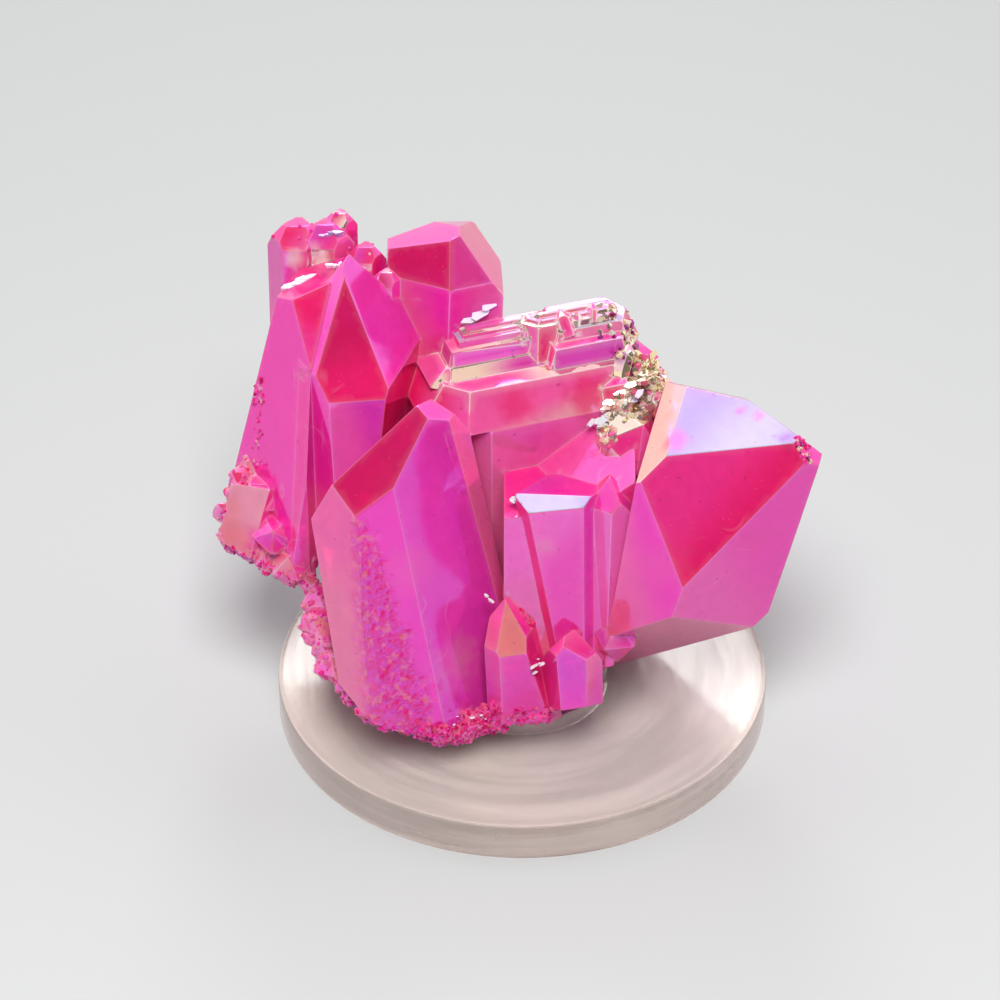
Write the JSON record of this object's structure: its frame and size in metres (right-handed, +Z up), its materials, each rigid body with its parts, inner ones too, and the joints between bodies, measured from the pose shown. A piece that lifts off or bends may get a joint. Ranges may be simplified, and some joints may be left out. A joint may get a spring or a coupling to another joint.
{
  "type": "aura quartz crystal cluster on a display disc",
  "caption": "Cluster of pointed quartz crystals with a magenta iridescent coating, standing on a low round clear display disc.",
  "frame": {"origin": "centre of the hub's underside, on the surface that the disc stands on", "axes": "+Z up along the disc's axis, -Y towards the front of the cluster, +X to its right"},
  "size_m": [0.0723, 0.0627, 0.0582],
  "materials": {
    "aura_quartz": "glossy flat crystal faces, part see-through, iridescent magenta to violet",
    "clear_acrylic": "clear, hazy and finely scratched in rings",
    "polished_steel": "polished"
  },
  "bodies": {
    "root": {"quartz_cluster": "aura_quartz", "display_disc": "clear_acrylic", "metal_hub": "polished_steel"}
  },
  "joints": []
}
